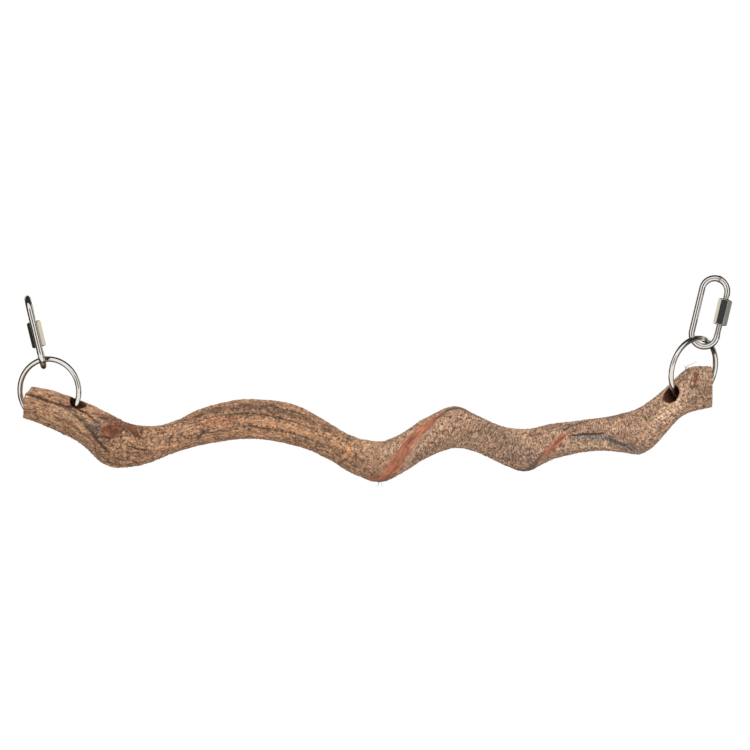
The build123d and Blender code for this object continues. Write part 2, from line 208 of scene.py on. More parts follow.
# Marks on the bark: a line of points (mm along the branch, degrees up from the front), half its
# width and its depth in mm, its colour, how strongly it stains, and how smooth it is there.
marks = [
    # crack between the two lobes of the left end, through the hole, red along its bottom
    dict(line=[(-3, 38), (5, 40), (11, 36), (19, 36), (26, 46), (33, 43), (40, 29)], wide=1.2,
         deep=0.9, colour="35211a", stain=0.9, plain=0.3),
    dict(line=[(4, 33), (12, 29), (20, 27), (28, 33)], wide=1.9, deep=0.3, colour="66382a",
         stain=0.8, plain=0.1),
    # pale ridges along the lower lobe: a painted highlight along its top edge, then two worn ridges
    # below it
    dict(line=[(5, 22), (14, 18), (24, 18), (32, 15), (38, 4)], wide=0.7, deep=-0.3,
         colour="b79e88", stain=0.6, plain=0.4),
    dict(line=[(14, 2), (24, -3), (33, -12), (42, -34)], wide=0.7, deep=-0.2, colour="ae947d",
         stain=0.55, plain=0.3),
    dict(line=[(8, -24), (20, -34), (32, -48), (44, -66)], wide=0.8, deep=-0.2, colour="b4977b",
         stain=0.5, plain=0.3),
    # lip of the long lobe that ends at the knot, painted dark along it as the shadow under the lip
    dict(line=[(22, 20), (34, 10), (42, -4), (51, -26), (56, -40)], wide=1.4, deep=0.5,
         colour="463831", stain=0.85, plain=0.2),
    dict(line=[(45, -45), (54, -64), (62, -76)], wide=0.6, deep=0.4, colour="594a40", stain=0.6,
         plain=0.2),
    # cracks round the knot and along the left end's underside
    dict(line=[(45.7, -8), (49.3, 1), (53.2, 5), (57.4, 9)], wide=0.6, deep=0.5, colour="3d2a22",
         stain=0.85, plain=0.0),
    dict(line=[(40, 48), (43, 51), (46, 56)], wide=1.0, deep=0.5, colour="33231c", stain=0.85,
         plain=0.0),
    dict(line=[(6, -60), (18, -79), (30, -92), (43, -96)], wide=0.7, deep=0.5, colour="43342b",
         stain=0.7, plain=0.0),
    # rough dark bark over the knot, and bare red patches beside it
    dict(line=[(38, 58), (46, 54), (56, 56), (66, 58), (78, 50)], wide=4.2, deep=-0.2,
         colour="6e4a38", stain=0.65, plain=0.0),
    dict(line=[(50, 46), (56, 48), (62, 42), (68, 28)], wide=0.5, deep=0.6, colour="3a231a",
         stain=0.85, plain=0.0),
    dict(line=[(60, 66), (62, 44), (61, 26), (62, 12)], wide=0.45, deep=0.5, colour="3a261d",
         stain=0.8, plain=0.0),
    dict(line=[(72, 58), (75, 38), (73, 20)], wide=0.45, deep=0.5, colour="3f2a20", stain=0.75,
         plain=0.0),
    dict(line=[(46, 18), (52, 27), (60, 34)], wide=5.0, deep=0.4, colour="8f4d35", stain=0.85,
         plain=0.2),
    dict(line=[(52, 18), (56, 26), (58, 38)], wide=1.6, deep=0.3, colour="522518", stain=0.85,
         plain=0.1),
    dict(line=[(61, 53), (65, 62), (69, 47), (73, 22)], wide=3.0, deep=0.3, colour="7c4129",
         stain=0.85, plain=0.2),
    dict(line=[(63, 54), (67, 44), (70, 34)], wide=1.3, deep=0.3, colour="5d2b1f", stain=0.85,
         plain=0.2),
    dict(line=[(57, 8), (57, -6), (56, -20)], wide=0.45, deep=0.6, colour="4a3024", stain=0.8,
         plain=0.0),
    dict(line=[(52, -74), (62, -70), (74, -66)], wide=0.45, deep=0.4, colour="4a3c32", stain=0.7,
         plain=0.0),
    dict(line=[(66, -2), (71, -8), (77, -17)], wide=0.5, deep=0.4, colour="54443a", stain=0.7,
         plain=0.0),
    dict(line=[(90, 8), (88, -9), (87, -30), (84, -58)], wide=0.4, deep=0.4, colour="4a3a30",
         stain=0.7, plain=0.0),
    # worn pale and orange bands along the hump
    dict(line=[(104, 8), (112, 11), (118, 4), (125, 0)], wide=1.5, deep=-0.1, colour="ac6a49",
         stain=0.65, plain=0.2),
    dict(line=[(122, -3), (147, -9), (168, -11), (182, -9), (194, 10)], wide=1.8, deep=-0.1,
         colour="c08f69", stain=0.75, plain=0.45),
    dict(line=[(84, -26), (100, -36), (119, -45), (140, -50), (160, -32)], wide=1.9, deep=-0.1,
         colour="bb8a64", stain=0.65, plain=0.35),
    dict(line=[(88, 62), (110, 48), (129, 35), (144, 37), (160, 35), (180, 38)], wide=2.8,
         deep=0.2, colour="614b3e", stain=0.6, plain=0.0),
    # long cracks between those bands
    dict(line=[(100, 28), (112, 22), (126, 17), (141, 14), (157, 10), (172, 9)], wide=0.5, deep=0.4,
         colour="4d3a2f", stain=0.75, plain=0.0),
    dict(line=[(122, -19), (136, -24), (150, -26), (166, -22), (178, -24)], wide=0.5, deep=0.4,
         colour="4d3a2f", stain=0.75, plain=0.0),
    dict(line=[(92, -10), (101, -18), (110, -28), (120, -33)], wide=0.45, deep=0.4, colour="4d3a2f",
         stain=0.7, plain=0.0),
    dict(line=[(138, 52), (152, 46), (168, 48), (180, 56)], wide=0.55, deep=0.5, colour="463429",
         stain=0.75, plain=0.0),
    # streak across the valley after the hump
    dict(line=[(192, -30), (194, 4), (193, 40)], wide=1.5, deep=-0.1, colour="c58a5e", stain=0.75,
         plain=0.6),
    dict(line=[(190, 20), (189, 50), (188, 75)], wide=0.7, deep=0.4, colour="54443a", stain=0.7,
         plain=0.0),
    # smooth red scar that climbs over the second hump, dark at the crest, with a grey lip below
    dict(line=[(206, -72), (215, -42), (221, -17), (230, 12), (238, 33), (246, 48), (252, 62)],
         wide=4.3, deep=0.15, colour="a2644a", stain=0.95, plain=0.9),
    dict(line=[(249, 54), (254, 66), (262, 90), (272, 125), (280, 150)], wide=1.9, deep=0.2,
         colour="54403a", stain=0.85, plain=0.6),
    dict(line=[(219, -60), (226, -32), (234, -4), (242, 20), (250, 42)], wide=1.5, deep=0.1,
         colour="a88874", stain=0.75, plain=0.7),
    dict(line=[(208, -80), (214, -62), (219, -48)], wide=1.1, deep=0.4, colour="5a5049", stain=0.8,
         plain=0.4),
    # second scar, its dark foot, dull bark before it, and the split that runs on from it
    dict(line=[(309, -32), (313, -24), (317, -11), (321, 6), (325, 20)], wide=1.9, deep=0.15,
         colour="a4624a", stain=0.95, plain=0.85),
    dict(line=[(288, -110), (297, -72), (302, -60), (306, -40), (312, -20)], wide=1.9, deep=0.2,
         colour="594a47", stain=0.75, plain=0.2),
    dict(line=[(322, 28), (326, 50), (332, 62), (338, 80)], wide=0.8, deep=0.5, colour="42322c",
         stain=0.85, plain=0.1),
    dict(line=[(322, 60), (336, 66), (350, 66), (364, 60)], wide=1.7, deep=0.1, colour="6f6363",
         stain=0.6, plain=0.0),
    # pale patch below the split: painted light on the lower side, where the lamps above leave shade
    dict(line=[(318, -28), (330, -36), (341, -44), (350, -60)], wide=3.2, deep=-0.1,
         colour="cdab8c", stain=0.7, plain=0.1),
    dict(line=[(325, 10), (333, 7), (343, 1)], wide=1.0, deep=0.7, colour="3f3431", stain=0.9,
         plain=0.2),
    dict(line=[(272, 34), (284, 22), (304, 6)], wide=7.0, deep=0.0, colour="98806b", stain=0.35,
         plain=0.0),
    dict(line=[(294, -24), (301, -14), (309, -2)], wide=4.0, deep=0.1, colour="96796a", stain=0.55,
         plain=0.0),
    dict(line=[(325, 4), (334, -4), (343, -14), (350, -33), (358, -44), (363, -66), (366, -90)],
         wide=2.0, deep=0.3, colour="908782", stain=0.75, plain=0.1),
    dict(line=[(344, -16), (350, -30), (356, -42)], wide=1.5, deep=0.4, colour="403d3c", stain=0.8,
         plain=0.0),
    # right end, pale partly in its own colour and partly as painted light where the lamps leave it
    # darker, with cracks round it, its red patch and dark line
    dict(line=[(378, 0), (390, -8), (402, -12)], wide=8.0, deep=0.0, colour="dfb896", stain=0.85,
         plain=0.0),
    dict(line=[(385, 48), (386, 10), (385, -40)], wide=0.35, deep=0.3, colour="553f31", stain=0.65,
         plain=0.0),
    dict(line=[(390, 52), (389, 12), (390, -44)], wide=0.35, deep=0.3, colour="553f31", stain=0.65,
         plain=0.0),
    dict(line=[(395, 40), (396, 6), (395, -46)], wide=0.35, deep=0.3, colour="553f31", stain=0.65,
         plain=0.0),
    dict(line=[(400, 30), (399, 0), (400, -40)], wide=0.35, deep=0.3, colour="553f31", stain=0.65,
         plain=0.0),
    dict(line=[(407, 58), (408, 42), (406, 24), (405, 6)], wide=2.1, deep=0.3, colour="8a4a39",
         stain=0.8, plain=0.3),
    dict(line=[(404, 36), (403, 20), (403, -8)], wide=0.5, deep=0.4, colour="4c372c", stain=0.7,
         plain=0.0),
    # marks of the same kinds on the back
    dict(line=[(60, 150), (85, 165), (110, 172), (135, 170)], wide=1.9, deep=-0.1, colour="b58560",
         stain=0.6, plain=0.35),
    dict(line=[(120, -150), (150, -142), (180, -150)], wide=1.5, deep=-0.1, colour="a8683f",
         stain=0.6, plain=0.4),
    dict(line=[(150, 130), (170, 150), (196, 165)], wide=0.7, deep=0.8, colour="4c3c32", stain=0.7,
         plain=0.1),
    dict(line=[(340, 150), (362, 170), (384, 185)], wide=1.4, deep=0.7, colour="6f5f56", stain=0.7,
         plain=0.3),
]
# Knots: place along the branch, degrees up from the front, radius, height, colour.
knots = [
    (41.6, 16, 4.6, 1.0, "75655a"),
    (48.1, -10, 1.1, 0.3, "c9ae92"),
    (45.3, 0, 0.9, 0.3, "c4a88c"),
    (103.0, -31, 1.9, 0.5, "574c45"),
    (106.2, -18, 2.3, 0.6, "574c45"),
    (16.8, -53, 0.9, -0.7, "2b201a"),
    (21.1, -56, 0.7, -0.5, "33261f"),
    (150.0, 165, 3.0, 0.8, "75645a"),
    (270.0, -150, 2.6, 0.7, "75645a"),
    (352.0, 120, 2.4, 0.6, "75645a"),
]
# Loose fibres: places in mm in the frame's own axes, and the radius where they leave the bark.
fibres = [
    ([(361.6, -10.0, -37.4), (362.0, -11.2, -36.0), (364.0, -12.2, -34.6),
      (367.8, -13, -33.1)], 0.22),
    ([(362.0, -10.2, -37.2), (361.3, -11.0, -35.8), (360.6, -11.4, -34.6)], 0.18),
    ([(193.1, -1.9, -97.7), (192.9, -2.1, -100.5), (192.1, -2.3, -102.3)], 0.18),
    ([(193.9, -1.9, -97.9), (194.5, -2.1, -100.3), (195.3, -2.1, -101.7)], 0.15),
]


def branch_line(points):
    """Middle line of the branch, with its lengths from the left end."""
    x = points[:, 0]
    places = np.arange(x.min() + end_margin, x.max() - end_margin, slab_step)
    middle = []
    for place in places:
        slab = points[np.abs(x - place) < slab_half]
        middle.append((slab.min(0) + slab.max(0)) / 2)
    middle = np.array(middle)
    for _ in range(2):
        middle[1:-1] = (middle[:-2] + middle[1:-1] * 2 + middle[2:]) / 4
    fine = np.arange(x.min() - line_past, x.max() + line_past, line_step)
    line = [fine]
    for axis in (1, 2):
        value = np.interp(fine, places, middle[:, axis])
        first = (middle[4, axis] - middle[0, axis]) / (places[4] - places[0])
        last = (middle[-1, axis] - middle[-5, axis]) / (places[-1] - places[-5])
        value += np.minimum(fine - places[0], 0) * first + np.maximum(fine - places[-1], 0) * last
        line.append(value)
    line = np.stack(line, 1)
    steps = np.linalg.norm(np.diff(line, axis=0), axis=1)
    length = np.concatenate([[0], np.cumsum(steps)])
    return line, length - np.interp(x.min(), fine, length)


def unroll(points):
    """Place along the branch, angle up from the front, distance from the middle, and direction."""
    line, length = branch_line(points)
    run = np.gradient(line, axis=0)
    run /= np.linalg.norm(run, axis=1)[:, None]
    nearest = np.zeros(len(points), int)
    for start in range(0, len(points), chunk):
        part = points[start:start + chunk]
        far = ((part[:, None, :] - line[None]) ** 2).sum(2)
        nearest[start:start + chunk] = far.argmin(1)
    away = points - line[nearest]
    ahead = run[nearest]
    slide = (away * ahead).sum(1)
    away = away - ahead * slide[:, None]
    front = np.array([0.0, -1.0, 0.0]) - ahead * -ahead[:, 1:2]
    front /= np.linalg.norm(front, axis=1)[:, None]
    up = np.cross(front, ahead)
    angle = np.degrees(np.arctan2((away * up).sum(1), (away * front).sum(1)))
    return length[nearest] + slide, angle, np.linalg.norm(away, axis=1), ahead


def line_distance(along, angle, line):
    """Distance in mm to a line on the unrolled bark, below zero on one side, how far along the
    line that is as a share, and the line's length."""
    best = np.full(len(along), 1e9)
    share = np.zeros(len(along))
    spans = [math.hypot(b[0] - a[0], math.radians(b[1] - a[1]) * round_mean)
             for a, b in zip(line, line[1:])]
    total = sum(spans)
    for turn in (-360, 0, 360):
        done = 0
        for (s0, a0), (s1, a1), span in zip(line, line[1:], spans):
            p = along - s0
            q = np.radians(angle + turn - a0) * round_mean
            ds, da = s1 - s0, math.radians(a1 - a0) * round_mean
            t = np.clip((p * ds + q * da) / span ** 2, 0, 1)
            distance = np.hypot(p - t * ds, q - t * da)
            nearer = distance < np.abs(best)
            best = np.where(nearer, np.where(p * da < q * ds, distance, -distance), best)
            share = np.where(nearer, (done + t * span) / total, share)
            done += span
    return best, share, total


def cracks(points, along, across, thick, seed):
    """Broken crack lines, 1 in the crack: along and across are the sizes between them in mm."""
    noise.seed_set(seed)    # else noise_vector starts from the clock and differs each run
    shift = Vector((seed * 17.3, seed * 5.1, seed * 9.7))
    depth = []
    for p in points:
        at = Vector((p[0] / along, p[1] / across, p[2] / across)) + shift
        bent = at + noise.noise_vector(at * 0.6) * 0.45
        depth.append((abs(noise.noise(bent)), noise.noise(at * 0.45 + shift)))
    depth = np.array(depth)
    return (1 - ease(0.25 * thick, thick, depth[:, 0])) * ease(-0.22, 0.12, depth[:, 1])


def grain(points, along, across, octaves=3):
    """Soft noise of a size in mm along and across the branch, about -1 to 1."""
    return np.array([noise.fractal(Vector((p[0] / along, p[1] / across, p[2] / across)), 0.9, 2.0,
                                   octaves) for p in points])


def even_shell(name, node, material):
    """A copy of a node of the part as one smooth shell with even faces."""
    shell = bmesh.new()
    shell.from_mesh(nodes[node].data)
    bmesh.ops.remove_doubles(shell, verts=shell.verts, dist=merge_gap)
    piece = new_piece(name, shell, material)
    even = piece.modifiers.new("even_faces", "REMESH")
    even.mode = "VOXEL"
    even.voxel_size = voxel * MM
    solid = piece.evaluated_get(bpy.context.evaluated_depsgraph_get())
    mesh = bpy.data.meshes.new_from_object(solid)
    piece.modifiers.clear()
    old, piece.data = piece.data, mesh
    bpy.data.meshes.remove(old)
    mesh.name = name
    mesh.materials.clear()
    mesh.materials.append(material)
    mesh.shade_smooth()
    return piece


def vertex_rows(mesh, field):
    """The places or the normals of a mesh's vertices, one row each."""
    flat = np.zeros(len(mesh.vertices) * 3, np.float32)
    mesh.vertices.foreach_get(field, flat)
    return flat.reshape(-1, 3).astype(float)


def worked_wood(points, normals, along, ahead):
    """Where the wood is sawn, where it is a hole's wall, and where it is near a hole, 0 to 1."""
    facing = np.abs((normals * ahead).sum(1))
    cut = ease(0.75, 0.92, facing) * ((along < end_reach) | (along > along.max() - end_reach))
    bore = np.zeros(len(points))
    near_hole = np.zeros(len(points))
    for middle, direction, radius in holes.values():
        arm = points - np.array(middle)
        lean = np.array(direction) / np.linalg.norm(direction)
        off = np.linalg.norm(arm - (arm @ lean)[:, None] * lean, axis=1)
        close = np.linalg.norm(arm, axis=1) < hole_reach
        bore = np.maximum(bore, close * (1 - ease(radius + 0.1, radius + 0.5, off)))
        near_hole = np.maximum(near_hole, close * (1 - ease(radius, radius + hole_rim, off)))
    return cut, bore, near_hole


def marked_bark(along, angle, straight):
    """How far marks and knots lift the bark, how smooth they leave it, and their stain."""
    count = len(along)
    lift, plain, strongest = np.zeros(count), np.zeros(count), np.zeros(count)
    paint, weight = np.zeros((count, 3)), np.full(count, 1e-6)
    edge = grain(straight, 2.6, 1.8)
    for number, mark in enumerate(marks):
        distance, share, length = line_distance(along, angle, mark["line"])
        taper = np.clip(np.sin(np.pi * np.clip(share, 0.03, 0.97)), 0, 1) ** 0.45
        wide = mark["wide"] * taper * (1 + 0.5 * edge)
        mask = 1 - ease(0.45, 1.3, np.abs(distance) / np.maximum(wide, 0.05))
        lift -= mark["deep"] * mask
        plain = np.maximum(plain, mark["plain"] * mask)
        # fibres run along the mark
        streak = np.zeros(count)
        for i in np.flatnonzero(mask > 0.02):
            at = Vector((share[i] * length / streak_long, distance[i] / streak_wide, number))
            streak[i] = noise.fractal(at, 0.8, 2.0, 3)
        lift += mark["plain"] * mask * 0.2 * streak
        amount = mark["stain"] * mask
        colour = np.array(linear(mark["colour"])[:3]) * np.clip(1 + 0.9 * streak, 0.3, 2)[:, None]
        paint += colour * amount[:, None] ** 2
        weight += amount ** 2
        strongest = np.maximum(strongest, amount)
    for place, turn, radius, height, colour in knots:
        distance = line_distance(along, angle, [(place - 0.05, turn), (place + 0.05, turn)])[0]
        distance = np.abs(distance) / (1 + 0.5 * edge)
        mask = 1 - ease(0.5, 1.15, distance / radius)
        ripple = np.cos(distance * 2 * np.pi / knot_ring) if radius > knot_ring else np.zeros(count)
        lift += height * mask * (1 + 0.4 * ripple)
        amount = 0.85 * mask
        colour = np.array(linear(colour)[:3]) * (1 + 0.5 * ripple + 0.9 * edge)[:, None]
        paint += colour * 2 * amount[:, None] ** 2
        weight += 2 * amount ** 2
        strongest = np.maximum(strongest, amount)
    return lift, plain, np.concatenate([paint / weight[:, None], strongest[:, None]], 1)


def bark_branch(material):
    """The branch with its bark carved: fibres at its left end, plates, then fine granules."""
    bark = even_shell("branch_bark", "branch", material)
    mesh = bark.data
    points, normals = vertex_rows(mesh, "co") / MM, vertex_rows(mesh, "normal")
    along, angle, reach, ahead = unroll(points)
    cut, bore, near_hole = worked_wood(points, normals, along, ahead)
    skin = (1 - cut) * (1 - bore)

    # grain coordinates: along the branch, and round it with the twist of the vine taken out
    turned = np.radians(angle - np.interp(along, twist_places, twist_degrees))
    straight = np.stack([along, reach * np.cos(turned), reach * np.sin(turned)], 1)
    lift, plain, stain = marked_bark(along, angle, straight)

    fibrous = 1 - ease(*fibrous_until, along)
    fine = ease(*fine_from, along)
    zones = np.stack([(1 - fine) * (1 - fibrous), fibrous, fine], 1)
    rough = (1 - plain) * skin
    crack = np.zeros(len(points))
    for seed, (long, wide, thick, strength) in enumerate(crack_kinds, 1):
        crack += cracks(straight, long, wide, thick, seed) * (zones @ strength)
    crack = rough * np.clip(crack, 0, 1)
    relief = lump_height * grain(straight, 9, 5)
    relief += (zones @ strand_heights) * grain(straight, 16, 1.6)
    relief += rough * grit_height * grain(straight, 1.1, 1.2, 2)
    relief -= crack * (zones @ crack_depths)
    relief = relief * skin * (1 - near_hole) + lift * skin * (1 - 0.8 * near_hole)
    relief += cut * saw_height * np.sin(points[:, 2] * 2 * np.pi / saw_pitch)
    moved = points + normals * np.clip(relief, relief_least, relief_most)[:, None]
    moved[:, 0] -= np.interp(points[:, 2], *zip(*end_lobes)) * (1 - ease(*lobe_fade, along))
    mesh.vertices.foreach_set("co", (moved * MM).astype(np.float32).ravel())
    mesh.update()

    keep(mesh, "grain", "FLOAT_VECTOR", "vector", straight * MM)
    keep(mesh, "stain", "FLOAT_COLOR", "color", stain)
    kept = dict(crack=crack, relief=np.clip(relief * skin, -1, 1), plain=plain, fine=fine,
                fibrous=fibrous, cut=cut, bore=bore)
    for name, values in kept.items():
        keep(mesh, name, "FLOAT", "value", values)
    return bark


def loose_fibres(material):
    """Short torn fibres that stand off the bark: thin tapered threads through a few points."""
    shape = bmesh.new()
    for path, radius in fibres:
        points = [Vector(p) * MM for p in path]
        steps = [points[0]]
        for a, b in zip(points, points[1:]):
            steps += [a.lerp(b, t / fibre_steps) for t in range(1, fibre_steps + 1)]
        loops = []
        for i, point in enumerate(steps):
            run = (steps[min(i + 1, len(steps) - 1)] - steps[max(i - 1, 0)]).normalized()
            thin = radius * MM * (1 - fibre_taper * i / (len(steps) - 1))
            place = Matrix.Translation(point) @ run.to_track_quat("Z", "Y").to_matrix().to_4x4()
            made = bmesh.ops.create_circle(shape, segments=fibre_sides, radius=thin, matrix=place)
            loops.append(list(dict.fromkeys(e for v in made["verts"] for e in v.link_edges)))
        for a, b in zip(loops, loops[1:]):
            bmesh.ops.bridge_loops(shape, edges=a + b)
        for end in (loops[0], loops[-1]):
            bmesh.ops.edgeloop_fill(shape, edges=end)
    piece = new_piece("loose_fibres", shape, material)
    keep(piece.data, "stain", "FLOAT_COLOR", "color",
         np.tile(linear("8a5a4c"), (len(piece.data.vertices), 1)))
    return piece


# Rings, links and nuts

def ring_piece(side, weld_towards, material):
    """A butt-welded ring: round wire spun about the ring's own axis, with its weld swollen."""
    joint = joints[side + "_ring_turn"]
    centre, axis = Vector(joint["pos_m"]), Vector(joint["axis"]).normalized()
    out = Vector(weld_towards)
    out = (out - axis * out.dot(axis)).normalized()
    place = Matrix.Translation(centre + out * ring_radius * MM)
    place = place @ Matrix((out, axis, out.cross(axis))).transposed().to_4x4()
    shape = bmesh.new()
    made = bmesh.ops.create_circle(shape, segments=wire_sides, radius=ring_wire / 2 * MM,
                                   matrix=place)
    bmesh.ops.spin(shape, geom=made["verts"] + shape.edges[:], cent=centre, axis=axis,
                   angle=2 * math.pi, steps=ring_steps, use_merge=True)
    bmesh.ops.remove_doubles(shape, verts=shape.verts, dist=merge_gap)
    weld = []
    for v in shape.verts:
        spoke = v.co - centre
        flat = (spoke - axis * spoke.dot(axis)).normalized()
        middle = centre + flat * ring_radius * MM
        arc = math.atan2(axis.dot(out.cross(flat)), out.dot(flat)) * ring_radius
        lumps = noise.noise(v.co / (weld_grain * MM)) * weld_lumps
        bead = math.exp(-(arc / weld_half) ** 2)
        seam = math.exp(-(arc / seam_half) ** 2)
        v.co = middle + (v.co - middle) * (1 + bead * (weld_swell + lumps) - seam * seam_sink)
        weld.append(bead)
    shape.verts.index_update()
    piece = new_piece(side + "_ring_wire", shape, material)
    keep(piece.data, "weld", "FLOAT", "value", np.array(weld))
    return piece


def link_place(side):
    """Place of a link: the foot of its lower bow, with Z along it and X to its gate."""
    along = -Vector(joints[side + "_nut_travel"]["axis"]).normalized()
    low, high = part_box(side + "_link")
    middle = (low + high) / 2
    low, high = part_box(side + "_nut")
    across = (low + high) / 2 - middle
    across = (across - along * across.dot(along)).normalized()
    foot = middle - along * (bow_radius + link_leg / 2) * MM
    turn = Matrix((across, along.cross(across), along)).transposed().to_4x4()
    return Matrix.Translation(foot) @ turn


def link_piece(side, material):
    """Bent wire of a screw link with a threaded stub on each side of its gate."""
    place = link_place(side)
    radius = link_wire / 2 * MM
    upper_bow = bow_radius + link_leg
    shape = bmesh.new()
    start = Matrix.Translation(Vector((bow_radius, 0, lower_stub_end)) * MM)
    bmesh.ops.create_circle(shape, segments=wire_sides, radius=radius - stub_bevel * MM,
                            matrix=start)
    loop = shape.edges[:]
    bmesh.ops.edgeloop_fill(shape, edges=loop)

    def push(step, size):
        """Carries the wire's end straight on by a step and to a new radius."""
        nonlocal loop
        grown = bmesh.ops.extrude_edge_only(shape, edges=loop)["geom"]
        verts = [g for g in grown if isinstance(g, bmesh.types.BMVert)]
        loop = [g for g in grown if isinstance(g, bmesh.types.BMEdge)
                and all(v in verts for v in g.verts)]
        heart = sum((v.co for v in verts), Vector()) / len(verts)
        for v in verts:
            v.co = heart + (v.co - heart) * (size / (v.co - heart).length)
            v.co.z += step

    def bend(height):
        """Carries the wire's end round a half circle about a bow's middle."""
        nonlocal loop
        verts = list(dict.fromkeys(v for e in loop for v in e.verts))
        turned = bmesh.ops.spin(shape, geom=verts + loop, cent=(0, 0, height), axis=(0, 1, 0),
                                angle=math.pi, steps=bow_steps)["geom_last"]
        loop = [g for g in turned if isinstance(g, bmesh.types.BMEdge)]

    def thread(turns):
        """Carries the wire's end down through turns of thread."""
        for _ in range(turns):
            push(-thread_pitch / 2 * MM, radius - thread_depth * MM)
            push(-thread_pitch / 2 * MM, radius)

    push(-stub_bevel * MM, radius)
    reach = lower_stub_end - stub_bevel - thread_low
    turns = int((reach - stub_bevel) / thread_pitch)
    thread(turns)
    push(-(lower_stub_end - stub_bevel - turns * thread_pitch - bow_radius) * MM, radius)
    bend(bow_radius * MM)
    for _ in range(leg_steps):
        push(link_leg / leg_steps * MM, radius)
    bend(upper_bow * MM)
    reach = upper_bow - upper_stub_end - stub_bevel
    turns = int((reach - stub_bevel) / thread_pitch)
    push(-(reach - turns * thread_pitch) * MM, radius)
    thread(turns)
    push(-stub_bevel * MM, radius - stub_bevel * MM)
    bmesh.ops.edgeloop_fill(shape, edges=loop)
    bmesh.ops.remove_doubles(shape, verts=shape.verts, dist=merge_gap)

    # burr left at the crown where the link hung on the plating rack
    burrs = []
    for v in shape.verts:
        bow = Vector((v.co.x, 0, v.co.z - upper_bow * MM))
        arc = math.atan2(bow.x, bow.z) * bow_radius if bow.z > 0 else bow_radius
        burr = math.exp(-((arc - rack_mark) / rack_half) ** 2)
        heart = bow.normalized() * bow_radius * MM
        heart.z += upper_bow * MM
        lumps = noise.noise(v.co / (rack_grain * MM)) * rack_lumps
        v.co = v.co + (v.co - heart) * burr * (rack_swell + lumps)
        burrs.append(burr)
    shape.verts.index_update()
    bmesh.ops.transform(shape, matrix=place, verts=shape.verts)
    piece = new_piece(side + "_link_wire", shape, material)
    keep(piece.data, "weld", "FLOAT", "value", np.array(burrs))
    return piece


def nut_piece(side, material):
    """The hex sleeve nut of the part with its edges broken."""
    shape = bmesh.new()
    shape.from_mesh(nodes[side + "_nut"].data)
    bmesh.ops.remove_doubles(shape, verts=shape.verts, dist=merge_gap)
    bmesh.ops.dissolve_limit(shape, angle_limit=math.radians(1), verts=shape.verts,
                             edges=shape.edges)
    sharp = [e for e in shape.edges if len(e.link_faces) == 2
             and e.calc_face_angle() > math.radians(sharp_above)]
    bmesh.ops.bevel(shape, geom=sharp, offset=nut_edge * MM, offset_type="OFFSET", segments=2,
                    profile=0.5, affect="EDGES", clamp_overlap=True, material=-1)
    piece = new_piece(side + "_nut_sleeve", shape, material)
    for face in piece.data.polygons:
        face.use_smooth = face.area < nut_flat * MM * MM
    return piece


# Materials

def patches(tree, at, size_mm, stretch, shift, reach, detail=3.0, rough=0.65):
    """Noise of a size in mm, squeezed along and round the branch and moved by a shift, its values
    from low to high carried to a first and a last one."""
    low, high, first, last = reach
    at = add(tree, "Mapping", {"Vector": at, "Scale": stretch,
                               "Location": (shift, shift, 0)}).outputs[0]
    value = add(tree, "TexNoise", {"Vector": at, "Scale": 1 / (size_mm * MM), "Detail": detail,
                                   "Roughness": rough}).outputs["Fac"]
    return add(tree, "MapRange", {"Value": value, 1: low, 2: high, 3: first, 4: last}).outputs[0]


def crackle(tree, at, size_mm, stretch, thin, bend):
    """Thin broken lines between cells of a size in mm, 1 in the line."""
    at = add(tree, "Mapping", {"Vector": at, "Scale": stretch}).outputs[0]
    sway = add(tree, "TexNoise", {"Vector": at, "Scale": 1.6 / (size_mm * MM), "Detail": 2.0})
    sway = add(tree, "VectorMath", {0: sway.outputs["Color"], 1: (0.5, 0.5, 0.5)},
               operation="SUBTRACT").outputs[0]
    sway = add(tree, "VectorMath", {0: sway, "Scale": bend * size_mm * MM},
               operation="SCALE").outputs[0]
    at = add(tree, "VectorMath", {0: at, 1: sway}, operation="ADD").outputs[0]
    gap = add(tree, "TexVoronoi", {"Vector": at, "Scale": 1 / (size_mm * MM)},
              feature="DISTANCE_TO_EDGE").outputs["Distance"]
    return add(tree, "MapRange", {"Value": gap, 1: 0.3 * thin, 2: thin, 3: 1.0, 4: 0.0}).outputs[0]


def corky(tree, at, stretch):
    """Grains of 1 mm, each of its own brightness and darker towards its rim."""
    at = add(tree, "Mapping", {"Vector": at, "Scale": stretch}).outputs[0]
    cell = add(tree, "TexVoronoi", {"Vector": at, "Scale": 1 / (1.0 * MM)})
    dome = add(tree, "MapRange", {"Value": cell.outputs["Distance"], 1: 0.15, 2: 0.7, 3: 1.24,
                                  4: 0.78}).outputs[0]
    shade = add(tree, "SeparateColor", {0: cell.outputs["Color"]}).outputs[0]
    shade = add(tree, "MapRange", {"Value": shade, 3: 0.82, 4: 1.18}).outputs[0]
    return add(tree, "Math", {0: dome, 1: shade}, operation="MULTIPLY").outputs[0]


def bark_ground(tree, at, fine):
    """Weathering in patches of 7 mm, greyer on the right half, with red where the outer bark is
    worn through and grey where it has aged."""
    weather = patches(tree, at, 7, (0.4, 1, 1), 0.0, (0.25, 0.75, 0.0, 1.0), 4.0, 0.6)
    left = add(tree, "ValToRGB", {"Fac": weather}, stops=[
        (0.0, linear("9f785d")), (0.4, linear("b98e6d")), (0.7, linear("c69875")),
        (1.0, linear("d5ab84"))]).outputs[0]
    right = add(tree, "ValToRGB", {"Fac": weather}, stops=[
        (0.0, linear("9a7c66")), (0.4, linear("b89479")), (0.7, linear("c7a083")),
        (1.0, linear("d9b496"))]).outputs[0]
    ground = add(tree, "Mix", {0: fine, 6: left, 7: right}, data_type="RGBA").outputs[2]
    red = patches(tree, at, 4.0, (0.6, 1, 1), 0.013, (0.52, 0.74, 0.0, 0.7), 5.0, 0.8)
    ground = add(tree, "Mix", {0: red, 6: ground, 7: linear("a2603f")}, data_type="RGBA").outputs[2]
    grey = patches(tree, at, 3.6, (0.5, 1, 1), 0.029, (0.52, 0.74, 0.0, 0.65), 5.0, 0.8)
    return add(tree, "Mix", {0: grey, 6: ground, 7: linear("74675e")}, data_type="RGBA").outputs[2]


